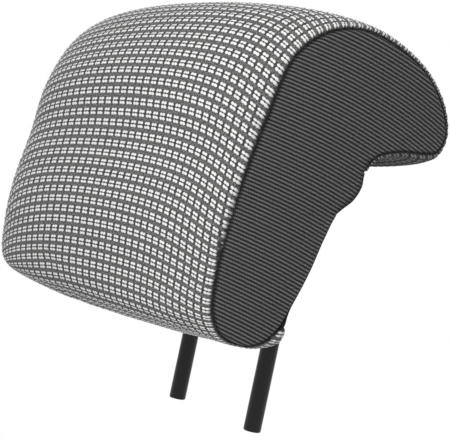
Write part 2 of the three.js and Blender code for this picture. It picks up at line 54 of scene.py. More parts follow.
# The pad in millimetres, as its solids have it: the side seams, and how far the middle stands beyond them
FRONT = -113.0
MIDDLE_FRONT = -153.0
HOOK = 53.0
HOOK_MIDDLE = 63.0
HOOK_UNDER = 203.0
TOP = 265.5
MIDDLE_TOP = 283.0
BOTTOM = 64.5
MIDDLE_BOTTOM = 66.0
LOW_BACK = -41.0
MIDDLE_BACK = 25.0
UPPER_CREASE = HOOK_UNDER - 21
LOWER_CREASE = HOOK_UNDER - 50
BULGE = HOOK_UNDER - 31
HALF_WIDTH = 142.0
TOE_IN_START = -95.0
TOE_IN_RATE = 0.001
FRONT_ROUNDNESS = 2.1
BACK_ROUNDNESS = 1.5

# Each entry gives the side seam and then the middle, as (y, z), from the bottom round by the front
OUTLINE = np.array([
    ((FRONT + 29, BOTTOM), (FRONT + 39, MIDDLE_BOTTOM)),
    ((FRONT + 12, BOTTOM + 4), (MIDDLE_FRONT + 28, MIDDLE_BOTTOM + 0.5)),
    ((FRONT + 3, BOTTOM + 16), (MIDDLE_FRONT + 11, MIDDLE_BOTTOM + 7)),
    ((FRONT, BOTTOM + 41), (MIDDLE_FRONT + 5, MIDDLE_BOTTOM + 33)),
    ((FRONT + 1, BOTTOM + 65), (MIDDLE_FRONT + 4, MIDDLE_BOTTOM + 64)),
    ((FRONT + 5.5, TOP - 99.5), (MIDDLE_FRONT + 10, MIDDLE_TOP - 111)),
    ((FRONT + 12, TOP - 66.5), (MIDDLE_FRONT + 13, MIDDLE_TOP - 71)),
    ((FRONT + 21, TOP - 30.5), (MIDDLE_FRONT + 31, MIDDLE_TOP - 37)),
    ((FRONT + 34, TOP - 14.5), (MIDDLE_FRONT + 55, MIDDLE_TOP - 15)),
    ((FRONT + 51, TOP - 4.5), (MIDDLE_FRONT + 83, MIDDLE_TOP - 5.5)),
    ((FRONT + 73, TOP), (MIDDLE_FRONT + 115, MIDDLE_TOP - 4.5)),
    ((HOOK - 65, TOP - 3), (HOOK_MIDDLE - 69, MIDDLE_TOP - 7.5)),
    ((HOOK - 30, TOP - 14), (HOOK_MIDDLE - 33, MIDDLE_TOP - 22)),
    ((HOOK - 7, HOOK_UNDER + 31), (HOOK_MIDDLE - 7, HOOK_UNDER + 38)),
    ((HOOK + 1, HOOK_UNDER + 16), (HOOK_MIDDLE, HOOK_UNDER + 15)),
    ((HOOK - 5, HOOK_UNDER + 4.5), (HOOK_MIDDLE - 5, HOOK_UNDER - 4)),
    ((HOOK - 19, HOOK_UNDER + 0.5), (HOOK_MIDDLE - 19, HOOK_UNDER - 11.5)),
    ((HOOK - 45, HOOK_UNDER - 3.5), (HOOK_MIDDLE - 33, HOOK_UNDER - 9)),
    ((LOW_BACK + 29, HOOK_UNDER - 11), (MIDDLE_BACK - 11, HOOK_UNDER - 11)),
    ((LOW_BACK + 23, UPPER_CREASE), (MIDDLE_BACK - 15, UPPER_CREASE)),
    ((LOW_BACK + 23.5, BULGE + 1), (MIDDLE_BACK - 5, BULGE)),
    ((LOW_BACK + 19, BULGE - 8), (MIDDLE_BACK - 5, BULGE - 12)),
    ((LOW_BACK + 7.5, LOWER_CREASE), (MIDDLE_BACK - 9, LOWER_CREASE - 4)),
    ((LOW_BACK + 1, BOTTOM + 72), (MIDDLE_BACK - 2, MIDDLE_BOTTOM + 71)),
    ((LOW_BACK - 5, BOTTOM + 51), (MIDDLE_BACK + 1, MIDDLE_BOTTOM + 50)),
    ((LOW_BACK - 13, BOTTOM + 30), (MIDDLE_BACK - 1, MIDDLE_BOTTOM + 28)),
    ((LOW_BACK - 20.5, BOTTOM + 14), (MIDDLE_BACK - 11, MIDDLE_BOTTOM + 10)),
    ((LOW_BACK - 30, BOTTOM + 4.5), (MIDDLE_BACK - 45, MIDDLE_BOTTOM + 2)),
])
TURN = len(OUTLINE)
BAND_END = 19
COVER_JOIN = 26
BACK_CREASES = (19, 22)
SEAM, MIDDLE = 0, 1


def length(name, description, default):
    return FloatProperty(name=name, description=description, default=default, unit="LENGTH")


def colour(name, description, default):
    return FloatVectorProperty(name=name, description=description, subtype="COLOR", size=3, default=default)


class HeadrestSizes(bpy.types.PropertyGroup):
    tuft_columns: IntProperty(name="Tuft columns", description="Tufts from seam to seam", default=39)
    tuft_row: length("Tuft row", "Distance between rows of tufts low on the front", 0.00605)
    tuft_height: length("Tuft height", "How far a tuft stands out of the cloth", 0.0005)
    rib_pitch: length("Rib pitch", "Distance between ribs of the side cloth", 0.00233)
    rib_height: length("Rib height", "Height of a rib above its groove", 0.0006)
    cloth_thickness: length("Cloth thickness", "Face cloth with its foam backing", 0.0026)
    seam_depth: length("Seam depth", "How deep a seam pulls both covers in", 0.0016)
    seam_width: length("Seam width", "How far from a seam the pull is felt", 0.003)
    swell_limit: length("Swell", "The furthest that the foam pushes a cover out", 0.002)
    rod_diameter: length("Rod diameter", "Diameter of the steel rod", 0.012)
    post_spacing: length("Post spacing", "Distance between the posts' axes", 0.1)


class HeadrestColours(bpy.types.PropertyGroup):
    tuft: colour("Tufts", "White tuft yarn", (0.93, 0.93, 0.92))
    speckle: colour("Speckled rows", "Grey rows between the tufts", (0.145, 0.144, 0.143))
    ground: colour("Ground", "Dark yarn under the tufts", (0.04, 0.04, 0.04))
    rib: colour("Ribs", "Charcoal ribbed cloth", (0.19, 0.188, 0.185))
    # The grooves' dark colour is painted shade in the recesses between the ribs
    rib_groove: colour("Rib grooves", "Dark yarn between the ribs", (0.013, 0.013, 0.013))
    plain: colour("Rear cloth", "Plain dark cloth behind", (0.016, 0.016, 0.017))
    rod: colour("Rod", "Satin black coating", (0.008, 0.008, 0.008))
    foam: colour("Foam", "Moulded foam", (0.62, 0.55, 0.36))
    moulding: colour("Mouldings", "Black plastic of the carrier and strips", (0.016, 0.016, 0.017))
    zinc: colour("Zinc", "Plated screws, wires and rings", (0.56, 0.57, 0.58))


# Shader maths

class Signal:
    """A socket of a material that works in Python expressions."""

    def __init__(self, bench, socket):
        self.bench = bench
        self.socket = socket

    def math(self, operation, *others, swap=False):
        values = [*others, self] if swap else [self, *others]
        return self.bench.node("ShaderNodeMath", {"operation": operation}, values)

    def __add__(self, other):
        return self.math("ADD", other)

    __radd__ = __add__

    def __sub__(self, other):
        return self.math("SUBTRACT", other)

    def __rsub__(self, other):
        return self.math("SUBTRACT", other, swap=True)

    def __mul__(self, other):
        return self.math("MULTIPLY", other)

    def __truediv__(self, other):
        return self.math("DIVIDE", other)

    def __pow__(self, other):
        return self.math("POWER", other)

    def __abs__(self):
        return self.math("ABSOLUTE")


class Bench:
    """A material being made, with one method for every node."""

    def __init__(self, name):
        self.material = bpy.data.materials.new(name)
        self.material.use_nodes = True
        self.nodes = self.material.node_tree.nodes
        self.links = self.material.node_tree.links
        self.nodes.clear()

    def node(self, kind, settings, values, output=0):
        made = self.nodes.new(kind)
        for key, value in settings.items():
            setattr(made, key, value)
        pairs = values.items() if isinstance(values, dict) else enumerate(values)
        for key, value in pairs:
            if isinstance(value, Signal):
                self.links.new(value.socket, made.inputs[key])
            else:
                made.inputs[key].default_value = value
        return Signal(self, made.outputs[output]) if made.outputs else None

    def step(self, value, low, high):
        """0 below low, 1 above high, smooth between. It falls if low is the larger."""
        settings = {"interpolation_type": "SMOOTHSTEP", "clamp": True}
        if low < high:
            return self.node("ShaderNodeMapRange", settings, [value, low, high, 0.0, 1.0])
        return self.node("ShaderNodeMapRange", settings, [value, high, low, 1.0, 0.0])

    def mix(self, share, first, second):
        """Mixes two colours."""
        values = {0: share, 6: _rgba(first), 7: _rgba(second)}
        return self.node("ShaderNodeMix", {"data_type": "RGBA"}, values, output=2)

    def shade(self, colour, factor):
        """A colour made lighter or darker by a number."""
        grey = self.node("ShaderNodeCombineXYZ", {}, [factor, factor, factor])
        values = [_rgba(colour)[:3] if not isinstance(colour, Signal) else colour, grey]
        return self.node("ShaderNodeVectorMath", {"operation": "MULTIPLY"}, values)

    def thread_and_painted_shade(self, colour):
        """Dark thread and painted shade beside a seam, and painted shade under the hook and by the bulge, as
        the mesh's attribute gives them.
        """
        thread_and_shade = self.node("ShaderNodeAttribute", {"attribute_name": "thread_and_shade"}, {}, output=2)
        return self.shade(colour, 1.0 - thread_and_shade * 0.88)

    def noise(self, vector, scale, detail=2.0, roughness=0.5):
        values = {"Vector": vector, "Scale": scale, "Detail": detail, "Roughness": roughness}
        return self.node("ShaderNodeTexNoise", {}, values)

    def place(self, vector, scale):
        values = {"Vector": vector, "Scale": scale}
        return self.node("ShaderNodeMapping", {}, values)

    def uv(self):
        return self.node("ShaderNodeTexCoord", {}, [], output=2)

    def position(self):
        return self.node("ShaderNodeTexCoord", {}, [], output=3)

    def split(self, vector):
        made = self.nodes.new("ShaderNodeSeparateXYZ")
        self.links.new(vector.socket, made.inputs[0])
        return [Signal(self, socket) for socket in made.outputs]

    def bump(self, height, strength, distance):
        values = {"Height": height, "Strength": strength, "Distance": distance}
        return self.node("ShaderNodeBump", {}, values)

    def finish(self, **values):
        """The surface shader, with its sockets named as in the editor but in lower case."""
        named = {key.replace("_", " ").title().replace("Ior", "IOR"): value for key, value in values.items()}
        for key, value in named.items():
            if key.endswith("Color") and not isinstance(value, Signal):
                named[key] = _rgba(value)
        shader = self.node("ShaderNodeBsdfPrincipled", {}, named)
        self.node("ShaderNodeOutputMaterial", {}, [shader])
        return self.material


def _rgba(colour):
    if isinstance(colour, Signal):
        return colour
    return (*colour[:3], 1.0)


def tufted_cloth(colours):
    """Tufts of two by two white strips on dark yarn, with speckled rows between. One map cell is a tuft."""
    bench = Bench("tufted_cloth")
    map_uv = bench.uv()
    u, v, _ = bench.split(map_uv)
    stray = bench.noise(bench.place(map_uv, (9.0, 9.0, 1.0)), 1.0, 3.0, 0.6) - 0.5
    across = abs(u.math("FRACT") - 0.5)
    along = abs(v.math("FRACT") - 0.5)
    lean = bench.noise(bench.place(map_uv, (2.1, 2.1, 1.0)), 1.0, 1.0) - 0.5
    ring = ((across - 0.18) / 0.19) ** 2 + ((along - 0.178 + lean * 0.05) / 0.13) ** 2 + stray * 0.9
    tuft = bench.step(ring, 1.35, 0.8)
    row = bench.step(along + stray * 0.05, 0.29, 0.34)
    yarn = bench.noise(bench.place(map_uv, (7.0, 8.0, 1.0)), 1.0, 2.0, 0.7)
    thread = bench.noise(bench.place(map_uv, (22.0, 24.0, 1.0)), 1.0, 2.0, 0.7)
    speckled = bench.shade(colours.speckle, 0.3 + bench.step(yarn, 0.42, 0.6) * 1.1 + (thread - 0.5) * 1.2)
    dark = bench.shade(colours.ground, 0.6 + bench.step(thread, 0.35, 0.65) * 1.3)
    bright = bench.shade(colours.tuft, 0.82 + (thread - 0.5) * 0.5 + lean * 0.25)
    # The tufted colour is darkened by painted shade beside the seams and under the hook, with dark thread at
    # the seams
    colour = bench.thread_and_painted_shade(bench.mix(tuft, bench.mix(row, dark, speckled), bright))
    dome = tuft * (1.2 - ring * 0.35)
    height = dome + yarn * 0.35 * row + thread * 0.22
    normal = bench.bump(height, 0.55, 0.0007)
    return bench.finish(
        base_color=colour, roughness=0.92, normal=normal, specular_ior_level=0.15,
        sheen_weight=0.06, sheen_roughness=0.6)


def ribbed_cloth(colours):
    """Fine ribs of charcoal cloth. Down the map one unit is one rib, along it one unit is a millimetre."""
    bench = Bench("ribbed_cloth")
    map_uv = bench.uv()
    run, rise, _ = bench.split(map_uv)
    waver = bench.noise(bench.place(map_uv, (0.35, 0.4, 1.0)), 1.0, 2.0) - 0.5
    crest = 1.0 - abs((rise + waver * 0.25).math("FRACT") - 0.5) * 2.0
    crest = bench.step(crest, 0.2, 0.9)
    loop = (run * 0.9 + rise.math("FLOOR") * 0.5 + waver * 0.8).math("FRACT") - 0.5
    bead = bench.step(abs(loop), 0.5, 0.12)
    thread = bench.noise(bench.place(map_uv, (1.9, 3.1, 1.0)), 1.0, 2.0, 0.7)
    light = 0.42 + bead * 0.62 + (thread - 0.5) * 1.7
    # Painted shade: the grooves between the ribs are coloured much darker than the crests
    ribs = bench.mix(crest, bench.shade(colours.rib_groove, 0.6 + thread), bench.shade(colours.rib, light))
    # The ribbed colour is darkened by painted shade beside the seams and the bulge, with dark thread at the
    # seams
    colour = bench.thread_and_painted_shade(ribs)
    height = crest * (0.55 + bead * 0.45) + thread * 0.25
    normal = bench.bump(height, 0.6, 0.0004)
    return bench.finish(
        base_color=colour, roughness=0.93, normal=normal, specular_ior_level=0.12,
        sheen_weight=0.05, sheen_roughness=0.6)


def plain_cloth(colours):
    """Plain dark weave of the rear cover. The map is in millimetres."""
    bench = Bench("plain_cloth")
    map_uv = bench.uv()
    u, v, _ = bench.split(map_uv)
    over = (u * 1.1).math("SINE") * (v * 1.1).math("SINE")
    weave = bench.step(over, -0.6, 0.6)
    thread = bench.noise(bench.place(map_uv, (1.4, 1.4, 1.0)), 1.0, 3.0, 0.7)
    patch = bench.noise(bench.place(map_uv, (0.05, 0.05, 1.0)), 1.0, 2.0)
    # The rear colour is darkened by painted shade beside its seams, with dark thread at the seams
    colour = bench.thread_and_painted_shade(bench.shade(
        colours.plain, 0.55 + weave * 0.5 + (thread - 0.5) * 1.3 + (patch - 0.5) * 0.3))
    normal = bench.bump(weave * 0.6 + thread * 0.5, 0.5, 0.0003)
    return bench.finish(
        base_color=colour, roughness=0.95, normal=normal, specular_ior_level=0.12,
        sheen_weight=0.05, sheen_roughness=0.6)


def satin_rod(colours):
    """Satin black coating with a faint orange peel."""
    bench = Bench("satin_rod")
    place = bench.position()
    peel = bench.noise(place, 900.0, 2.0)
    cloud = bench.noise(place, 60.0, 2.0)
    colour = bench.shade(colours.rod, 0.85 + cloud * 0.3)
    return bench.finish(
        base_color=colour, roughness=0.34 + cloud * 0.08, normal=bench.bump(peel, 0.08, 0.0002),
        specular_ior_level=0.3)


def moulded_plastic(colours):
    """Grained black plastic."""
    bench = Bench("moulded_plastic")
    place = bench.position()
    grain = bench.node("ShaderNodeTexVoronoi", {}, {"Vector": place, "Scale": 1400.0})
    cloud = bench.noise(place, 80.0, 2.0)
    colour = bench.shade(colours.moulding, 0.85 + cloud * 0.4)
    return bench.finish(
        base_color=colour, roughness=0.5 + grain * 0.12, normal=bench.bump(grain, 0.2, 0.0001),
        specular_ior_level=0.4)


def zinc_plate(colours):
    """Bright zinc with drawn streaks."""
    bench = Bench("zinc_plate")
    place = bench.position()
    streak = bench.noise(bench.place(place, (300.0, 3000.0, 3000.0)), 1.0, 2.0)
    cloud = bench.noise(place, 250.0, 2.0)
    colour = bench.shade(colours.zinc, 0.8 + cloud * 0.35)
    return bench.finish(
        base_color=colour, metallic=1.0, roughness=0.24 + streak * 0.14 + cloud * 0.1,
        normal=bench.bump(streak, 0.1, 0.00005))


def moulded_foam(colours):
    """Open-celled foam with a moulded skin."""
    bench = Bench("moulded_foam")
    place = bench.position()
    cell = bench.node("ShaderNodeTexVoronoi", {}, {"Vector": place, "Scale": 700.0})
    cloud = bench.noise(place, 25.0, 3.0)
    colour = bench.shade(colours.foam, 0.72 + bench.step(cell, 0.05, 0.5) * 0.2 + cloud * 0.16)
    return bench.finish(
        base_color=colour, roughness=0.95, normal=bench.bump(cell, 0.5, 0.0006), specular_ior_level=0.1)


# The pad's surface. Along goes round the outline in its entries, across goes from seam to seam, -1 to 1.

NORMAL_REACH = 0.995
NORMAL_STEPS = (0.1, 0.004)
BESIDE_SEAM = 0.985


def loop_point(which, along):
    """Points of the smooth closed curve through the outline's seam or middle."""
    points = OUTLINE[:, which]
    along = np.mod(along, TURN)
    entry = np.floor(along).astype(int)
    part = (along - entry)[..., None]
    near = [points[(entry + step) % TURN] for step in (-1, 0, 1, 2)]
    gaps = [np.sum((near[n + 1] - near[n]) ** 2, -1)[..., None] ** 0.25 for n in range(3)]
    leave = ((near[1] - near[0]) / gaps[0] - (near[2] - near[0]) / (gaps[0] + gaps[1])
             + (near[2] - near[1]) / gaps[1]) * gaps[1]
    arrive = ((near[2] - near[1]) / gaps[1] - (near[3] - near[1]) / (gaps[1] + gaps[2])
              + (near[3] - near[2]) / gaps[2]) * gaps[1]
    square = -3 * near[1] + 3 * near[2] - 2 * leave - arrive
    cube = 2 * near[1] - 2 * near[2] + leave + arrive
    return near[1] + leave * part + square * part ** 2 + cube * part ** 3


def smooth_rise(value, low, high):
    share = np.clip((value - low) / (high - low), 0, 1)
    return share * share * (3 - 2 * share)


def half_width_at(y):
    return HALF_WIDTH - TOE_IN_RATE * np.maximum(0, y - TOE_IN_START) ** 2


def pad_point(along, across):
    """Points of the pad's surface, in millimetres."""
    along, across = np.broadcast_arrays(np.asarray(along, float), np.asarray(across, float))
    seam = loop_point(SEAM, along)
    middle = loop_point(MIDDLE, along)
    wrapped = np.mod(along, TURN)
    back = smooth_rise(wrapped, BAND_END - 3, BAND_END + 1) * (1 - smooth_rise(wrapped, COVER_JOIN - 1, TURN))
    barrel = np.maximum(0, 1 - np.abs(across) ** FRONT_ROUNDNESS) ** (1 / FRONT_ROUNDNESS)
    shallow = np.maximum(0, 1 - across * across) ** BACK_ROUNDNESS
    share = (barrel * (1 - back) + shallow * back)[..., None]
    side = across * half_width_at(seam[..., 0])
    return np.concatenate([side[..., None], seam + (middle - seam) * share], -1)


def unit(vectors):
    return vectors / np.maximum(np.linalg.norm(vectors, axis=-1, keepdims=True), 1e-9)


def pad_normal(along, across):
    """Outward directions of the pad's surface."""
    inner = np.clip(across, -NORMAL_REACH, NORMAL_REACH)
    step, sidestep = NORMAL_STEPS
    ahead = pad_point(along + step, inner) - pad_point(along - step, inner)
    beside = pad_point(along, inner + sidestep) - pad_point(along, inner - sidestep)
    return unit(np.cross(beside, ahead))


def seam_pull(along, side):
    """The direction in which a side seam pulls both of its covers, between the two surfaces."""
    facing = pad_normal(along, side * np.full_like(along, BESIDE_SEAM))
    facing[..., 0] += side
    return -unit(facing)


def pull(distance, sizes):
    """How far a seam pulls a cover in, at that distance from it."""
    reach = np.clip(1 - distance / (sizes.seam_width / MM), 0, 1)
    return sizes.seam_depth / MM * reach ** 2


# Mesh helpers

# How far from a seam its dark thread and painted shade reach, in millimetres
SHADE_WIDTH = 2.2
HOLE_GAP = 0.0005
HOLE_DEPTH = 0.15
HOLE_MIDDLE = 0.025
HOLE_SIDES = 48


def flat_pattern(columns, rows, fine=1):
    """A cut piece of cloth, one unit square, as a closed sheet. Its face side can be divided more finely."""
    bm = bmesh.new()
    bmesh.ops.create_grid(bm, x_segments=columns, y_segments=rows, size=0.5)
    bmesh.ops.translate(bm, verts=bm.verts, vec=(0.5, 0.5, 0))
    face_side = bmesh.ops.extrude_face_region(bm, geom=bm.faces[:])
    top = [item for item in face_side["geom"] if isinstance(item, bmesh.types.BMVert)]
    bmesh.ops.translate(bm, verts=top, vec=(0, 0, 1))
    if fine > 1:
        upper = [edge for edge in bm.edges if all(vert.co.z > 0.5 for vert in edge.verts)]
        bmesh.ops.subdivide_edges(bm, edges=upper, cuts=fine - 1, use_grid_fill=True)
    bmesh.ops.recalc_face_normals(bm, faces=bm.faces)
    return bm


def mesh_object(name, bm):
    mesh = bpy.data.meshes.new(name)
    bm.to_mesh(mesh)
    bm.free()
    made = bpy.data.objects.new(name, mesh)
    bpy.context.scene.collection.objects.link(made)
    return made


def vertex_places(mesh):
    places = np.zeros(len(mesh.vertices) * 3, np.float64)
    mesh.vertices.foreach_get("co", places)
    return places.reshape(-1, 3)


def move_vertices(mesh, places):
    mesh.vertices.foreach_set("co", np.ascontiguousarray(places, np.float64).ravel())
    mesh.update()


def write_map(mesh, coordinates):
    """Gives the mesh a UV map from one pair of numbers for each vertex."""
    layer = mesh.uv_layers.new(name="cloth")
    corner = np.zeros(len(mesh.loops), np.int32)
    mesh.loops.foreach_get("vertex_index", corner)
    layer.data.foreach_set("uv", np.ascontiguousarray(coordinates[corner], np.float32).ravel())


def write_thread_and_shade(mesh, distance, least=0.0):
    """Marks the dark thread and painted shade beside a seam, for the material, from each vertex's distance to
    it in millimetres. Every vertex gets at least the painted shade given as least.
    """
    layer = mesh.attributes.new("thread_and_shade", "FLOAT", "POINT")
    thread_and_shade = np.clip(1 - distance / SHADE_WIDTH, least, 1)
    layer.data.foreach_set("value", thread_and_shade.astype(np.float32))


def smooth(piece):
    piece.data.polygons.foreach_set("use_smooth", np.ones(len(piece.data.polygons), bool))
    piece.data.update()


def apply_modifiers(piece):
    """Replaces the mesh by what its modifiers make of it."""
    bpy.context.view_layer.update()
    evaluated = piece.evaluated_get(bpy.context.evaluated_depsgraph_get())
    made = bpy.data.meshes.new_from_object(evaluated)
    piece.modifiers.clear()
    old = piece.data
    piece.data = made
    bpy.data.meshes.remove(old)


def cut_post_holes(piece, sizes):
    """Round holes where the posts pass through a cover."""
    bm = bmesh.new()
    radius = sizes.rod_diameter / 2 + HOLE_GAP
    for side in (-1, 1):
        ring = bmesh.ops.create_cone(
            bm, cap_ends=True, segments=HOLE_SIDES, radius1=radius, radius2=radius, depth=HOLE_DEPTH)
        bmesh.ops.translate(bm, verts=ring["verts"], vec=(side * sizes.post_spacing / 2, 0, HOLE_MIDDLE))
    cutter = mesh_object("post_hole_cutter", bm)
    hole = piece.modifiers.new("Post holes", "BOOLEAN")
    hole.operation = "DIFFERENCE"
    hole.solver = "MANIFOLD"
    hole.object = cutter
    apply_modifiers(piece)
    bpy.data.objects.remove(cutter)


def dress(piece, material, slot, *nodes, fill=None):
    piece.data.materials.clear()
    piece.data.materials.append(material)
    smooth(piece)
    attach(piece, BODY)
    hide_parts(*nodes)


# The foam's push on the covers

SWELL = {}
SWELL_CELLS = 24
SWELL_MESH = 0.005
MERGE_REACH = 0.0002
HELD_RANGE = (0.006, 0.014)
SWELL_FRAMES = 20
SWELL_GRID = (140, 61)
NEAR_POINTS = 6
NEAR_SOFTNESS = 0.001


def swell_body():
    """A closed copy of the pad with an even mesh."""
    bm = bmesh.new()
    bmesh.ops.create_grid(bm, x_segments=SWELL_CELLS, y_segments=4 * TURN, size=0.5)
    body = mesh_object("swell_body", bm)
    flat = vertex_places(body.data)
    across = np.sin(flat[:, 0] * math.pi)
    move_vertices(body.data, pad_point((flat[:, 1] + 0.5) * TURN, across) * MM)
    bm = bmesh.new()
    bm.from_mesh(body.data)
    bmesh.ops.remove_doubles(bm, verts=bm.verts, dist=MERGE_REACH)
    bmesh.ops.holes_fill(bm, edges=bm.edges)
    bmesh.ops.triangulate(bm, faces=bm.faces)
    bmesh.ops.recalc_face_normals(bm, faces=bm.faces)
    bm.to_mesh(body.data)
    bm.free()
    even = body.modifiers.new("Even mesh", "REMESH")
    even.mode = "VOXEL"
    even.voxel_size = SWELL_MESH
    apply_modifiers(body)
    return body


def held_lines():
    """Points along the lines where thread or wire holds the covers down."""
    round_trip = np.linspace(0, TURN, 12 * TURN)
    lines = [pad_point(round_trip, side) for side in (-1, 1)]
    width = np.linspace(-1, 1, 120)
    lines += [pad_point(crease, width) for crease in (*BACK_CREASES, COVER_JOIN)]
    return np.concatenate(lines) * MM


def near_field(points):
    """A tree of points to look up the nearest ones."""
    tree = kdtree.KDTree(len(points))
    for n, point in enumerate(points):
        tree.insert(point, n)
    tree.balance()
    return tree


def run_swell(sizes):
    """Blows the closed body up as cloth held along its seams, and keeps how far each place moved."""
    body = swell_body()
    before = vertex_places(body.data)
    tree = near_field(held_lines())
    distance = np.array([tree.find(point)[2] for point in before])
    held = body.vertex_groups.new(name="held")
    for n, gap in enumerate(distance):
        weight = 1 - smooth_rise(gap, *HELD_RANGE)
        if weight > 0:
            held.add([n], float(weight), "REPLACE")
    cloth = body.modifiers.new("Cloth", "CLOTH")
    cloth.settings.quality = 5
    cloth.settings.mass = 0.3
    cloth.settings.tension_stiffness = 25
    cloth.settings.compression_stiffness = 25
    cloth.settings.bending_stiffness = 2
    cloth.settings.use_pressure = True
    cloth.settings.uniform_pressure_force = 4
    cloth.settings.vertex_group_mass = "held"
    cloth.settings.effector_weights.gravity = 0
    cloth.point_cache.frame_start = 1
    cloth.point_cache.frame_end = SWELL_FRAMES
    scene = bpy.context.scene
    for number in range(1, SWELL_FRAMES + 1):
        scene.frame_set(number)
    evaluated = body.evaluated_get(bpy.context.evaluated_depsgraph_get())
    moved = vertex_places(evaluated.data) - before
    scene.frame_set(1)
    bpy.data.objects.remove(body)
    length = np.linalg.norm(moved, axis=1, keepdims=True)
    capped = np.minimum(length, sizes.swell_limit) / np.maximum(length, 1e-9)
    SWELL["tree"] = near_field(before)
    SWELL["moved"] = moved * capped


def swell_at(points):
    """How far the foam pushes a cover out at each point, in metres."""
    if "tree" not in SWELL:
        return np.zeros_like(points)
    pushes = np.zeros_like(points)
    for n, point in enumerate(points):
        near = SWELL["tree"].find_n(point, NEAR_POINTS)
        weights = np.array([1 / (gap + NEAR_SOFTNESS) for _, _, gap in near])
        pushes[n] = weights @ SWELL["moved"][[index for _, index, _ in near]] / weights.sum()
    return pushes


def swell_grid(along, across):
    """The push over a coarse grid of the pad's surface."""
    flat = pad_point(along[:, None], across[None, :]).reshape(-1, 3) * MM
    return swell_at(flat).reshape(len(along), len(across), 3)


def read_grid(grid, rows, columns, along, across):
    """Reads a grid of vectors at any place by straight blending."""
    row = np.interp(along, rows, np.arange(len(rows)))
    column = np.interp(across, columns, np.arange(len(columns)))
    i = np.minimum(row.astype(int), len(rows) - 2)
    j = np.minimum(column.astype(int), len(columns) - 2)
    a = (row - i)[:, None]
    b = (column - j)[:, None]
    return ((grid[i, j] * (1 - a) + grid[i + 1, j] * a) * (1 - b)
            + (grid[i, j + 1] * (1 - a) + grid[i + 1, j + 1] * a) * b)


def surface_swell(along, across):
    """The push at places of the pad's surface, in metres, read from a coarse grid."""
    rows = np.linspace(along.min(), along.max(), SWELL_GRID[0])
    columns = np.sin(np.linspace(-math.pi / 2, math.pi / 2, SWELL_GRID[1]))
    grid = swell_grid(rows, columns)
    return read_grid(grid, rows, columns, along, across)


# How the tufted cloth lies on the pad. Its rows run slightly askew and sag beside the seams, and are further
# apart at the top. Its columns are bunched at the front's lower right and drift to the left on the way up.
# Each range says where along the outline a change begins and ends.

ROW_LINE = 0.8
ROW_STRETCH = 0.24
ROW_SKEW = 2.0
ROW_BOW = 4.6
ROW_SAG = 15.0
SAG_POWER = 7
STRETCH_RANGE = (4, 7.5)
SHIFT_RANGE = (0.3, 2.5)
CALM_RANGE = (8, 12)
SKEW_FALL, SKEW_RANGE = 0.45, (3, 5.5)
BOW_FALL, BOW_RANGE = 0.9, (3, 5.8)
SAG_FALL, SAG_RANGE = 0.3, (4, 5.8)
COLUMN_OFFSET = 5.5
COLUMN_PUSH = 4.0
COLUMN_BUNCH = 4.3
COLUMN_DRIFT = 1.0
EDGE_COLUMNS = 1.0
EDGE_POWER = 30
PUSH_FALL = 1.1
BUNCH_FALL = 0.8
COLUMN_RANGE = (4.5, 8.5)
DRIFT_RANGE = (3, 5)
SOLVER_ROUNDS = 14
SOLVER_STEP = 1e-4
SOLVER_LIMITS = (0.5, 0.2)
TUFT_SIDES = (0.26, 0.44)
TUFT_ENDS = (0.24, 0.4)


def band_rows(along, across, row_pitch):
    """Row count of the tufted cloth, from the rear join at the bottom round to the crease under the hook."""
    dense = np.linspace(COVER_JOIN - TURN, BAND_END, 1600)
    steps = np.linalg.norm(np.diff(pad_point(dense, ROW_LINE), axis=0), axis=1)
    pitch = row_pitch * (1 + ROW_STRETCH * smooth_rise(dense[1:], *STRETCH_RANGE))
    count = np.concatenate([[0], np.cumsum(steps / pitch)])
    here = smooth_rise(along, *SHIFT_RANGE) * (1 - smooth_rise(along, *CALM_RANGE))
    skew = (SKEW_FALL * smooth_rise(along, *SKEW_RANGE) - 1) * ROW_SKEW
    bow = (1 - BOW_FALL * smooth_rise(along, *BOW_RANGE)) * ROW_BOW
    sag = (1 - SAG_FALL * smooth_rise(along, *SAG_RANGE)) * ROW_SAG
    shift = skew * across + bow * across ** 2 / 2 + sag * np.abs(across) ** SAG_POWER / SAG_POWER
    return np.interp(along, dense, count) + here * shift


def columns_aside(along, across):
    """How many columns the cloth lies aside of even ones: pushed over inside, and closer beside a seam."""
    higher = smooth_rise(along, *COLUMN_RANGE)
    push = COLUMN_PUSH * (1 - PUSH_FALL * higher) + COLUMN_BUNCH * (1 - BUNCH_FALL * higher) * across
    return EDGE_COLUMNS * np.sign(across) * np.abs(across) ** EDGE_POWER - (1 - across ** 2) * push


def band_columns(along, across, count):
    """Column count of the tufted cloth, from the middle of the front."""
    inner = count / 2 - EDGE_COLUMNS
    drift = COLUMN_DRIFT * smooth_rise(along, *DRIFT_RANGE)
    return COLUMN_OFFSET + inner * across + columns_aside(along, across) + drift


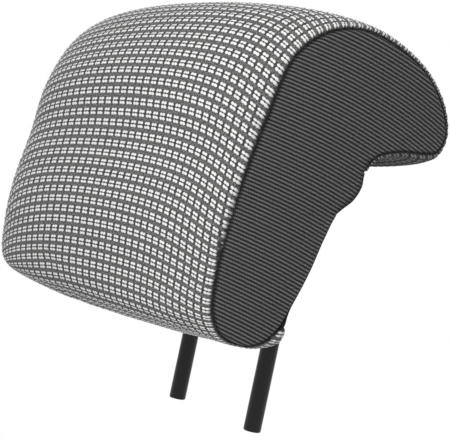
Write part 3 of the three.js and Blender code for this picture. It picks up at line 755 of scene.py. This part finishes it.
def sewn_places(width, rows, count, row_pitch):
    """The places on the pad of points on the flat cloth: width goes from 0 to 1 and rows are counted."""
    dense = np.linspace(COVER_JOIN - TURN, BAND_END, 900)
    along = np.interp(rows, band_rows(dense, 0.0, row_pitch), dense)
    across = 2 * width - 1
    far, farside = SOLVER_LIMITS

    def misses(along, across):
        aside = 0.5 + ((count / 2 - EDGE_COLUMNS) * across + columns_aside(along, across)) / count - width
        return aside, band_rows(along, across, row_pitch) - rows

    def slopes(step, ahead_of, here):
        return (item / step for item in np.subtract(misses(*ahead_of), here))

    for _ in range(SOLVER_ROUNDS):
        inward = np.where(across > 0, -SOLVER_STEP, SOLVER_STEP)
        onward = np.where(along > 0, -SOLVER_STEP, SOLVER_STEP)
        aside, ahead = misses(along, across)
        aside_s, ahead_s = slopes(onward, (along + onward, across), (aside, ahead))
        aside_t, ahead_t = slopes(inward, (along, across + inward), (aside, ahead))
        size = aside_s * ahead_t - aside_t * ahead_s
        along = along - np.clip((aside * ahead_t - aside_t * ahead) / size, -far, far)
        across = across - np.clip((aside_s * ahead - aside * ahead_s) / size, -farside, farside)
        along = np.clip(along, COVER_JOIN - TURN, BAND_END)
        across = np.clip(across, -1, 1)
    return along, across


def tuft_relief(columns, rows):
    """Height of the tufts over the cloth, from 0 to 1."""
    across = np.abs(np.mod(columns, 1) - 0.5)
    along = np.abs(np.mod(rows, 1) - 0.5)
    return (1 - smooth_rise(across, *TUFT_SIDES)) * (1 - smooth_rise(along, *TUFT_ENDS))


# Where the covers meet. The pulls fade inwards from a seam, and painted shade makes the cloth under the hook
# and along its rear edge darker.

FAR_AWAY = 99.0
ENTRY_PACE = 25.2
CALM_EDGE = (0.3, 1.5)
CORNER_REACH = 0.4
FINE_CELLS = 4
HOOK_BACK = 14
# Painted shade: the dark line beside the seam is widened along the hook's rear edge, and the cloth under the
# hook is painted darker
RIM_SHADE = 2
SHADE_RANGE = (HOOK_BACK - 2, HOOK_BACK)
UNDER_SHADE = 0.8
UNDER_RANGE = (HOOK_BACK + 0.4, HOOK_BACK + 1.2)


def edge_distance(along, across):
    """Distance along the surface to the nearer side seam, in millimetres."""
    side = np.sign(across + 1e-12)
    near = pad_point(along, side * (1 - (1 - np.abs(across)) / 2))
    here = pad_point(along, across)
    rim = pad_point(along, side)
    return np.linalg.norm(here - near, axis=1) + np.linalg.norm(near - rim, axis=1)


def end_distance(along, end):
    """Distance along the surface to a line across the pad, in millimetres."""
    return np.abs(along - end) * ENTRY_PACE


def pull_sides(places, along, across, edge, sizes, corner=0.0):
    """Pulls a cover in at both side seams, and twice as far towards its end if a corner is given."""
    for side in (-1, 1):
        beside = np.where(across * side > 0, edge, FAR_AWAY)
        places += seam_pull(along, side) * (pull(beside, sizes) * (1 + corner) * MM)[:, None]


class HEADREST_OT_band(bpy.types.Operator):
    """Sews the tufted band that runs under the bottom, up the front, over the top and round the hook"""
    bl_idname = "headrest.band"
    bl_label = "Tufted band"

    def execute(self, context):
        sizes = context.scene.headrest_sizes
        row_pitch = sizes.tuft_row / MM
        columns = sizes.tuft_columns
        last_row = float(band_rows(float(BAND_END), 0.0, row_pitch))
        band = mesh_object("band_cover", flat_pattern(columns, math.ceil(last_row), fine=FINE_CELLS))
        flat = vertex_places(band.data)
        along, across = sewn_places(flat[:, 0], flat[:, 1] * last_row, columns, row_pitch)
        face = flat[:, 2] > 0.5
        places = pad_point(along, across) * MM
        normal = pad_normal(along, across)
        places += surface_swell(along, across)
        u = band_columns(along, across, columns)
        v = flat[:, 1] * last_row
        edge = edge_distance(along, across)
        calm = smooth_rise(edge, *CALM_EDGE)
        relief = sizes.tuft_height * tuft_relief(u, v) * calm
        places += normal * np.where(face, relief, -sizes.cloth_thickness)[:, None]
        pull_sides(places, along, across, edge, sizes, smooth_rise(along, BAND_END - CORNER_REACH, BAND_END))
        ends = np.minimum(end_distance(along, COVER_JOIN - TURN), end_distance(along, BAND_END))
        places -= normal * (pull(ends, sizes) * MM)[:, None]
        move_vertices(band.data, places)
        write_map(band.data, np.column_stack([u, v]))
        # Painted shade on the band: wider beside the seam behind the hook, and over the whole cloth under the
        # hook
        behind = smooth_rise(along, *SHADE_RANGE)
        under = UNDER_SHADE * smooth_rise(along, *UNDER_RANGE)
        write_thread_and_shade(band.data, np.minimum(edge / (1 + RIM_SHADE * behind), ends), under)
        cut_post_holes(band, sizes)
        dress(band, tufted_cloth(context.scene.headrest_colours), "tufted_cloth", "centre_band", fill=0.9)
        return {"FINISHED"}


# Side covers: their ribs fan out towards the back

RIB_FAN = 0.0011
RIB_START = (-60.0, 150.0)
RIB_SLOPE = 0.21
FAN_CENTRE = (1 + RIB_SLOPE) / RIB_FAN
RIB_CELLS = 56
ROWS_PER_RIB = 4
RIB_INSET = 0.25
RIB_CALM = (0.5, 3)
SWELL_CALM = (0, 6)
LOOP_POINTS = 900
LONG_RIB = 120
RIB_CROWDING = 0.75
SEARCH_BATCH = 4000
# Where the side covers' painted shade beside the seam is widened, by the bulge at the back
BULGE_SIDE = (-60, -50)
BULGE_SHADE = 1.6


def rib_height_at(y, z):
    """The number that stays the same along a rib."""
    run = y - RIB_START[0]
    return (z - RIB_START[1] - FAN_CENTRE - run) * np.exp(-RIB_FAN * run) + FAN_CENTRE


def rib_z(y, height):
    """The height of a rib at y, in millimetres."""
    run = y - RIB_START[0]
    return (height - FAN_CENTRE) * np.exp(RIB_FAN * run) + FAN_CENTRE + run + RIB_START[1]


def rib_branches():
    """The side seam as two lines, before and behind, each sorted by rib height."""
    dense = np.linspace(0, TURN, 4000)
    loop = loop_point(SEAM, dense)
    height = rib_height_at(loop[:, 0], loop[:, 1])
    low, high = int(np.argmin(height)), int(np.argmax(height))
    order = np.arange(low, low + len(dense)) % len(dense)
    split = int(np.where(order == high)[0][0])
    before, behind = order[:split + 1], order[split:][::-1]
    branches = []
    for branch in (before, behind):
        climbing = np.maximum.accumulate(height[branch] + np.arange(len(branch)) * 1e-7)
        branches.append((climbing, loop[branch, 0]))
    return branches, float(height[low]), float(height[high])


class HEADREST_OT_side_covers(bpy.types.Operator):
    """Sews the two ribbed side covers"""
    bl_idname = "headrest.side_covers"
    bl_label = "Ribbed side covers"

    def execute(self, context):
        material = ribbed_cloth(context.scene.headrest_colours)
        for side, hand in ((-1, "left"), (1, "right")):
            name, node = "side_cover_" + hand, "side_panel_" + hand
            self.make(context.scene.headrest_sizes, side, name, node, material)
        return {"FINISHED"}

    def make(self, sizes, side, name, node, material):
        pitch = sizes.rib_pitch / MM
        (before, behind), low, high = rib_branches()
        rows = ROWS_PER_RIB * math.ceil((high - low) / pitch)
        cover = mesh_object(name, flat_pattern(RIB_CELLS, rows))
        flat = vertex_places(cover.data)
        height = low + RIB_INSET + (high - low - 2 * RIB_INSET) * flat[:, 1]
        start = np.interp(height, before[0], before[1])
        end = np.interp(height, behind[0], behind[1])
        y = start + (end - start) * self.spread(flat[:, 0], end - start)
        z = rib_z(y, height)
        face = flat[:, 2] > 0.5
        places = np.column_stack([side * half_width_at(y), y, z])
        seam_along = np.linspace(0, TURN, LOOP_POINTS)
        loop = loop_point(SEAM, seam_along)
        gap, nearest = self.nearest(np.column_stack([y, z]), loop)
        across = np.array([float(side), 0, 0])
        places = places * MM
        places += swell_at(places) * smooth_rise(gap, *SWELL_CALM)[:, None]
        rib = 0.5 - 0.5 * np.cos(2 * math.pi * height / pitch)
        relief = sizes.rib_height * (rib - 1) * smooth_rise(gap, *RIB_CALM)
        places += across * np.where(face, relief, -sizes.cloth_thickness)[:, None]
        places += seam_pull(seam_along[nearest], side) * (pull(gap, sizes) * MM)[:, None]
        move_vertices(cover.data, places)
        write_map(cover.data, np.column_stack([y, height / pitch]))
        # Painted shade: the dark line beside the seam is widened along the bulge
        bulge = smooth_rise(y, *BULGE_SIDE) * (np.abs(z - BULGE) < BULGE - LOWER_CREASE)
        write_thread_and_shade(cover.data, gap / (1 + BULGE_SHADE * bulge))
        if side < 0:
            cover.data.flip_normals()
        dress(cover, material, "ribbed_cloth", node, fill=0.9)

    @staticmethod
    def spread(share, length):
        """Places along a rib, closer together beside its two ends."""
        dense = 0.5 - 0.5 * np.cos(math.pi * share)
        weight = np.clip(length / LONG_RIB, 0, 1) * RIB_CROWDING
        return share * (1 - weight) + dense * weight

    @staticmethod
    def nearest(points, loop):
        """The distance from each point to the loop, and the loop's nearest point by number."""
        gap = np.full(len(points), np.inf)
        index = np.zeros(len(points), int)
        for begin in range(0, len(points), SEARCH_BATCH):
            batch = slice(begin, begin + SEARCH_BATCH)
            distance = np.linalg.norm(points[batch][:, None] - loop[None], axis=2)
            index[batch] = distance.argmin(1)
            gap[batch] = distance.min(1)
        return gap, index


REAR_CELLS = (110, 84)
REAR_PACE = 17.0


class HEADREST_OT_rear_cover(bpy.types.Operator):
    """Sews the plain rear cover with its two creases"""
    bl_idname = "headrest.rear_cover"
    bl_label = "Rear cover"

    def execute(self, context):
        sizes = context.scene.headrest_sizes
        cover = mesh_object("rear_cover", flat_pattern(*REAR_CELLS))
        flat = vertex_places(cover.data)
        across = np.sin((flat[:, 0] - 0.5) * math.pi)
        along = BAND_END + (COVER_JOIN - BAND_END) * flat[:, 1]
        face = flat[:, 2] > 0.5
        places = pad_point(along, across) * MM
        places += surface_swell(along, across)
        normal = pad_normal(along, across)
        places += normal * np.where(face, 0, -sizes.cloth_thickness)[:, None]
        edge = edge_distance(along, across)
        pull_sides(places, along, across, edge, sizes)
        for line in (BAND_END, BACK_CREASES[1], COVER_JOIN):
            places -= normal * (pull(end_distance(along, line), sizes) * MM)[:, None]
        move_vertices(cover.data, places)
        write_map(cover.data, np.column_stack([across * HALF_WIDTH, along * REAR_PACE]))
        # Painted shade and dark thread beside the rear cover's side seams
        write_thread_and_shade(cover.data, edge)
        cut_post_holes(cover, sizes)
        dress(cover, plain_cloth(context.scene.headrest_colours), "plain_cloth", "rear_panel", fill=0.9)
        return {"FINISHED"}


FOAM_MESH = 0.003


class HEADREST_OT_foam(bpy.types.Operator):
    """Rounds off the moulded foam core inside the covers"""
    bl_idname = "headrest.foam"
    bl_label = "Foam core"

    def execute(self, context):
        bm = bmesh.new()
        bm.from_mesh(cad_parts["foam_core"].data)
        bmesh.ops.remove_doubles(bm, verts=bm.verts, dist=1e-6)
        foam = mesh_object("pad_foam", bm)
        even = foam.modifiers.new("Even mesh", "REMESH")
        even.mode = "VOXEL"
        even.voxel_size = FOAM_MESH
        soften = foam.modifiers.new("Soften", "SMOOTH")
        soften.factor = 0.5
        soften.iterations = 3
        apply_modifiers(foam)
        dress(foam, moulded_foam(context.scene.headrest_colours), "foam", "foam_core", fill=1.0)
        return {"FINISHED"}


# The steel rod, in metres

BEND_HEIGHT = 0.104
LEG_LEAN = math.radians(30)
LEG_LENGTH = 0.097
BEND_RADIUS = 0.026
ROD_SIDES = 40
END_CHAMFER = 0.0012
LEAN_STEPS = 10
CORNER_STEPS = 18


class HEADREST_OT_rod(bpy.types.Operator):
    """Bends the steel rod whose two ends are the posts"""
    bl_idname = "headrest.rod"
    bl_label = "Post rod"

    def execute(self, context):
        sizes = context.scene.headrest_sizes
        bm = bmesh.new()
        ring = bmesh.ops.create_circle(
            bm, cap_ends=True, segments=ROD_SIDES, radius=sizes.rod_diameter / 2)
        bmesh.ops.translate(bm, verts=ring["verts"], vec=(sizes.post_spacing / 2, 0, 0))
        foot = list(bm.faces)[0]
        turn = BEND_RADIUS * math.tan(LEG_LEAN / 2)
        tip = self.straight(bm, foot, Vector((0, 0, BEND_HEIGHT - turn)))
        tip = self.bend(bm, tip, (0, -BEND_RADIUS, BEND_HEIGHT - turn), (1, 0, 0), LEG_LEAN, LEAN_STEPS)
        up = Vector((0, -math.sin(LEG_LEAN), math.cos(LEG_LEAN)))
        tip = self.straight(bm, tip, up * (LEG_LENGTH - turn - BEND_RADIUS))
        straight_half = sizes.post_spacing / 2 - BEND_RADIUS
        corner = Vector((straight_half, 0, BEND_HEIGHT)) + up * (LEG_LENGTH - BEND_RADIUS)
        tip = self.bend(bm, tip, corner, up.cross(Vector((-1, 0, 0))), math.pi / 2, CORNER_STEPS)
        tip = self.straight(bm, tip, Vector((-straight_half, 0, 0)))
        inside = [face for face in bm.faces if len(face.verts) == ROD_SIDES and face is not foot]
        bmesh.ops.delete(bm, geom=inside, context="FACES")
        bmesh.ops.mirror(bm, geom=bm.verts[:] + bm.edges[:] + bm.faces[:], merge_dist=1e-5, axis="X")
        bmesh.ops.remove_doubles(bm, verts=bm.verts, dist=1e-6)
        rims = [edge for edge in bm.edges if all(vert.co.z < 1e-6 for vert in edge.verts)]
        bmesh.ops.bevel(
            bm, geom=rims, offset=END_CHAMFER, segments=3, profile=0.5, affect="EDGES", material=-1)
        bmesh.ops.recalc_face_normals(bm, faces=bm.faces)
        rod = mesh_object("post_rod", bm)
        dress(rod, satin_rod(context.scene.headrest_colours), "post_black", "post_frame")
        return {"FINISHED"}

    @staticmethod
    def straight(bm, tip, run):
        """Pulls the tip face on by a run, and gives the new tip."""
        grown = bmesh.ops.extrude_face_region(bm, geom=[tip])["geom"]
        verts = [item for item in grown if isinstance(item, bmesh.types.BMVert)]
        bmesh.ops.translate(bm, verts=verts, vec=run)
        return [item for item in grown if isinstance(item, bmesh.types.BMFace)][0]

    @staticmethod
    def bend(bm, tip, centre, axis, angle, steps):
        """Turns the tip face on round an axis, and gives the new tip."""
        turned = bmesh.ops.spin(
            bm, geom=[tip], cent=centre, axis=axis, dvec=(0, 0, 0), angle=angle, steps=steps,
            use_merge=False, use_duplicate=False)
        faces = [item for item in turned["geom_last"] if isinstance(item, bmesh.types.BMFace)]
        return faces[0]


class HEADREST_OT_inner_parts(bpy.types.Operator):
    """Finishes the carrier, screws, wires, rings and closing strips"""
    bl_idname = "headrest.inner_parts"
    bl_label = "Inner parts"

    def execute(self, context):
        colours = context.scene.headrest_colours
        plastic = moulded_plastic(colours)
        zinc = zinc_plate(colours)
        for name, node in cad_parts.items():
            if name.startswith(("carrier_front", "carrier_rear", "closure_strip")):
                self.paint(node, plastic)
            elif name.startswith(("carrier_screw", "listing_wire", "anchor_wire", "hog_ring")):
                self.paint(node, zinc)
        return {"FINISHED"}

    @staticmethod
    def paint(node, material):
        for slot in node.material_slots:
            slot.link = "OBJECT"
            slot.material = material


# Camera and stage

CAMERA_PLACE = Vector((0.788844, -0.536116, 0.133714))
CAMERA_AZIMUTH = math.radians(57)
CAMERA_ELEVATION = math.radians(-0.213)
CAMERA_ROLL = math.radians(12)
FOCAL_PIXELS = 1350
FRAME_PIXELS = 451
SENSOR = 36
FLOOR_HEIGHT = -0.15
FLOOR_SIZE = 30
FLOOR_FADE = (0.22, 0.5)
SKY_STRENGTH = 0.22
LAMPS = (
    ("key_light", (0.75, -1.15, 1.0), (0, -0.05, 0.18), 0.9, 22),
    ("fill_light", (1.7, 0.1, 1.1), (0, 0, 0.15), 1.3, 4),
    ("back_light", (0.3, 1.6, 1.3), (0, 0, 0.15), 1.2, 12),
)


class HEADREST_OT_stage(bpy.types.Operator):
    """Sets the floor, the soft lights and the camera"""
    bl_idname = "headrest.stage"
    bl_label = "Stage"

    def execute(self, context):
        self.floor()
        self.world(context.scene)
        for lamp in LAMPS:
            self.lamp(*lamp)
        self.camera(context.scene)
        context.scene.view_settings.view_transform = "Standard"
        return {"FINISHED"}

    @staticmethod
    def floor():
        bm = bmesh.new()
        bmesh.ops.create_grid(bm, x_segments=1, y_segments=1, size=FLOOR_SIZE)
        bmesh.ops.translate(bm, verts=bm.verts, vec=(0, 0, FLOOR_HEIGHT))
        floor = mesh_object("floor", bm)
        bench = Bench("pale_floor")
        x, y, _ = bench.split(bench.position())
        away = bench.step((x * x + y * y) ** 0.5, *FLOOR_FADE)
        rays = bench.nodes.new("ShaderNodeLightPath")
        names = ("Is Camera Ray", "Is Glossy Ray", "Is Transmission Ray")
        seen = [Signal(bench, rays.outputs[name]) for name in names]
        direct = (seen[0] + seen[1] + seen[2]).math("MINIMUM", 1.0)
        matt = bench.node("ShaderNodeBsdfDiffuse", {}, {"Color": (0.84, 0.84, 0.84, 1)})
        glow = bench.node("ShaderNodeEmission", {}, {"Color": (1, 1, 1, 1), "Strength": 1.0})
        surface = bench.node("ShaderNodeMixShader", {}, [direct * away, matt, glow])
        bench.node("ShaderNodeOutputMaterial", {}, [surface])
        floor.data.materials.append(bench.material)

    @staticmethod
    def world(scene):
        world = bpy.data.worlds.new("studio")
        world.use_nodes = True
        scene.world = world
        nodes, links = world.node_tree.nodes, world.node_tree.links
        nodes.clear()
        rays = nodes.new("ShaderNodeLightPath")
        direct = nodes.new("ShaderNodeMath")
        direct.operation = "MAXIMUM"
        links.new(rays.outputs["Is Camera Ray"], direct.inputs[0])
        links.new(rays.outputs["Is Transmission Ray"], direct.inputs[1])
        soft = nodes.new("ShaderNodeBackground")
        soft.inputs["Color"].default_value = (1, 1, 1, 1)
        soft.inputs["Strength"].default_value = SKY_STRENGTH
        white = nodes.new("ShaderNodeBackground")
        white.inputs["Color"].default_value = (1, 1, 1, 1)
        white.inputs["Strength"].default_value = 1.0
        blend = nodes.new("ShaderNodeMixShader")
        links.new(direct.outputs[0], blend.inputs[0])
        links.new(soft.outputs[0], blend.inputs[1])
        links.new(white.outputs[0], blend.inputs[2])
        out = nodes.new("ShaderNodeOutputWorld")
        links.new(blend.outputs[0], out.inputs[0])

    @staticmethod
    def lamp(name, place, target, size, power):
        data = bpy.data.lights.new(name, "AREA")
        data.shape = "SQUARE"
        data.size = size
        data.energy = power
        lamp = bpy.data.objects.new(name, data)
        lamp.location = place
        lamp.rotation_euler = (Vector(target) - Vector(place)).to_track_quat("-Z", "Y").to_euler()
        bpy.context.scene.collection.objects.link(lamp)

    @staticmethod
    def camera(scene):
        data = bpy.data.cameras.new("camera")
        data.sensor_width = SENSOR
        data.lens = FOCAL_PIXELS / FRAME_PIXELS * SENSOR
        data.clip_start = 0.05
        camera = bpy.data.objects.new("camera", data)
        scene.collection.objects.link(camera)
        right = Vector((math.cos(CAMERA_AZIMUTH), math.sin(CAMERA_AZIMUTH), 0))
        level = math.cos(CAMERA_ELEVATION)
        forward = Vector((-math.sin(CAMERA_AZIMUTH) * level, math.cos(CAMERA_AZIMUTH) * level,
                          -math.sin(CAMERA_ELEVATION)))
        up = right.cross(forward)
        rolled_right = right * math.cos(CAMERA_ROLL) + up * math.sin(CAMERA_ROLL)
        rolled_up = up * math.cos(CAMERA_ROLL) - right * math.sin(CAMERA_ROLL)
        turn = Matrix((rolled_right, rolled_up, -forward)).transposed().to_4x4()
        camera.matrix_world = Matrix.Translation(CAMERA_PLACE) @ turn
        scene.camera = camera


class HEADREST_PT_panel(bpy.types.Panel):
    bl_label = "Headrest"
    bl_idname = "HEADREST_PT_panel"
    bl_space_type = "VIEW_3D"
    bl_region_type = "UI"
    bl_category = "Headrest"

    def draw(self, context):
        for group in (context.scene.headrest_sizes, context.scene.headrest_colours):
            box = self.layout.box()
            for name in group.bl_rna.properties.keys():
                if name not in ("rna_type", "name"):
                    box.prop(group, name)
        for operator in OPERATORS:
            self.layout.operator(operator.bl_idname)


OPERATORS = (
    HEADREST_OT_band,
    HEADREST_OT_side_covers,
    HEADREST_OT_rear_cover,
    HEADREST_OT_foam,
    HEADREST_OT_rod,
    HEADREST_OT_inner_parts,
    HEADREST_OT_stage,
)
CLASSES = (HeadrestSizes, HeadrestColours, *OPERATORS, HEADREST_PT_panel)


def register():
    for item in CLASSES:
        bpy.utils.register_class(item)
    bpy.types.Scene.headrest_sizes = PointerProperty(type=HeadrestSizes)
    bpy.types.Scene.headrest_colours = PointerProperty(type=HeadrestColours)


def unregister():
    del bpy.types.Scene.headrest_colours
    del bpy.types.Scene.headrest_sizes
    for item in reversed(CLASSES):
        bpy.utils.unregister_class(item)


def main():
    register()
    run_swell(bpy.context.scene.headrest_sizes)
    bpy.ops.headrest.band()
    bpy.ops.headrest.side_covers()
    bpy.ops.headrest.rear_cover()
    bpy.ops.headrest.foam()
    bpy.ops.headrest.rod()
    bpy.ops.headrest.inner_parts()
    bpy.ops.headrest.stage()


if __name__ == "__main__":
    main()
